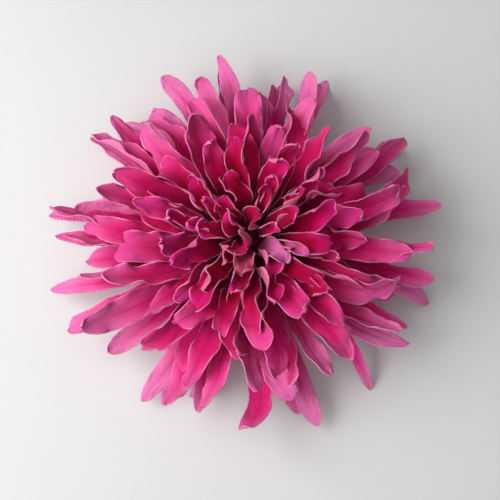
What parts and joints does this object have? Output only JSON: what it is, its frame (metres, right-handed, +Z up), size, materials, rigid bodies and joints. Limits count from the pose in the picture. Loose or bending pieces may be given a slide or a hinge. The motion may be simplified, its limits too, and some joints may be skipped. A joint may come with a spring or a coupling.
{
  "type": "artificial chrysanthemum flower head",
  "caption": "Artificial chrysanthemum flower head: rounds of long die-cut fabric petals on a centre peg, rising from a moulded calyx with a flat underside.",
  "frame": {"origin": "middle of the calyx's flat underside", "axes": "+Z up along the peg, out of the flower's face; +Y is the top of the flower as seen from the front"},
  "size_m": [0.1207, 0.1225, 0.0435],
  "materials": {
    "pale_petal_cloth": "dyed woven polyester, heat-pressed, paler towards the tips",
    "deep_petal_cloth": "dyed woven polyester, velvety, with a pale cut edge",
    "calyx_plastic": "moulded polyethylene, matt",
    "peg_plastic": "moulded polyethylene, matt",
    "bead_plastic": "moulded polyethylene, matt"
  },
  "bodies": {
    "root": {"calyx": "calyx_plastic", "centre_peg": "peg_plastic", "spacer_bead_01": "bead_plastic", "spacer_bead_02": "bead_plastic", "spacer_bead_03": "bead_plastic", "spacer_bead_04": "bead_plastic", "spacer_bead_05": "bead_plastic", "spacer_bead_06": "bead_plastic", "spacer_bead_07": "bead_plastic", "spacer_bead_08": "bead_plastic", "spacer_bead_09": "bead_plastic", "spacer_bead_10": "bead_plastic", "petal_round_01": "pale_petal_cloth", "petal_round_02": "pale_petal_cloth", "petal_round_03": "pale_petal_cloth", "petal_round_04": "pale_petal_cloth", "petal_round_05": "pale_petal_cloth", "petal_round_06": "pale_petal_cloth", "petal_round_07": "deep_petal_cloth", "petal_round_08": "deep_petal_cloth", "petal_round_09": "deep_petal_cloth", "petal_round_10": "deep_petal_cloth", "petal_round_11": "deep_petal_cloth"}
  },
  "joints": []
}
